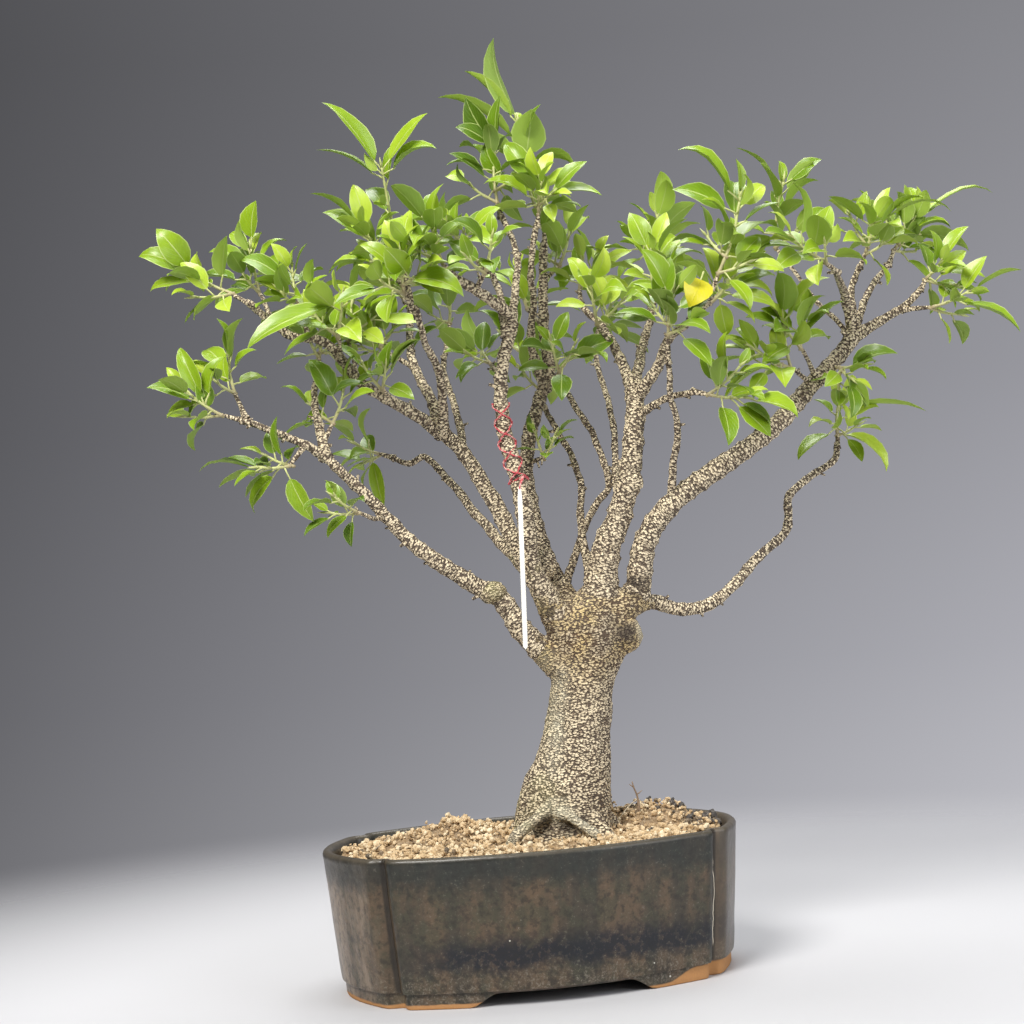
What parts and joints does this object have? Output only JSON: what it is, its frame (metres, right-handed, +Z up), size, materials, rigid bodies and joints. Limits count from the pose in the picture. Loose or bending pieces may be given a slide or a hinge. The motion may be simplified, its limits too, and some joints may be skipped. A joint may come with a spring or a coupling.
{
  "type": "bonsai tree in a pot",
  "caption": "Small-leaved fig trained as a bonsai, with a stout forked trunk and open leafy crown, in a low lobed glazed pot on feet.",
  "frame": {"origin": "on the surface that the feet stand on, at the middle of the whole plant's bounding box", "axes": "+Z up, the trunk's way of growing; +X along the pot's long side, to the right as seen from the front; -Y towards the front"},
  "size_m": [0.6418, 0.3075, 0.696],
  "materials": {
    "glaze": "dark variegated gloss glaze, bare clay on the feet",
    "screen_mesh": "matte",
    "soil": "loose pale clay crumbs",
    "bark": "rough bark flecked with pale lenticels",
    "leaf": "waxy, half gloss",
    "string": "twisted twine",
    "strip": "satin",
    "dry_wood": "dry and dull"
  },
  "bodies": {
    "root": {"pot": "glaze", "drain_screen_left": "screen_mesh", "drain_screen_right": "screen_mesh", "soil": "soil", "trunk_and_branches": "bark", "red_string": "string", "white_strip": "strip", "dry_stem": "dry_wood", "shoot_low_left_end": "leaf", "shoot_low_left_top": "leaf", "shoot_low_left_hanging": "leaf", "shoot_low_left_spur": "leaf", "shoot_second_left_end": "leaf", "shoot_third_left_end": "leaf", "shoot_third_left_top": "leaf", "shoot_third_left_middle": "leaf", "shoot_third_left_near": "leaf", "shoot_third_left_far": "leaf", "shoot_upright_end": "leaf", "shoot_upright_low": "leaf", "shoot_top_left": "leaf", "shoot_top_left_cluster": "leaf", "shoot_left_back": "leaf", "shoot_left_front": "leaf", "shoot_left_low_front": "leaf", "shoot_left_middle": "leaf", "shoot_back_left": "leaf", "shoot_tied_leader_end": "leaf", "shoot_tied_leader_side": "leaf", "shoot_tied_middle_end": "leaf", "shoot_second_leader_end": "leaf", "shoot_leader_end": "leaf", "shoot_leader_twin_end": "leaf", "shoot_leader_right": "leaf", "shoot_leader_back": "leaf", "shoot_tied_leader_low": "leaf", "shoot_leader_low_front": "leaf", "shoot_leader_small": "leaf", "shoot_slim_right_end": "leaf", "shoot_slim_crossing_end": "leaf", "shoot_centre_back_end": "leaf", "shoot_centre_back_low": "leaf", "shoot_centre_far_end": "leaf", "shoot_centre_far_low": "leaf", "shoot_slim_upright_end": "leaf", "shoot_front_right_end": "leaf", "shoot_front_right_side": "leaf", "shoot_front_right_low": "leaf", "shoot_front_slim_end": "leaf", "shoot_right_top": "leaf", "shoot_right_left_end": "leaf", "shoot_right_middle_end": "leaf", "shoot_right_far_end": "leaf", "shoot_right_end_tuft": "leaf", "shoot_right_tip": "leaf", "shoot_right_inner": "leaf", "shoot_right_inner_low": "leaf", "shoot_right_outer": "leaf", "shoot_low_right_end": "leaf"}
  },
  "joints": []
}
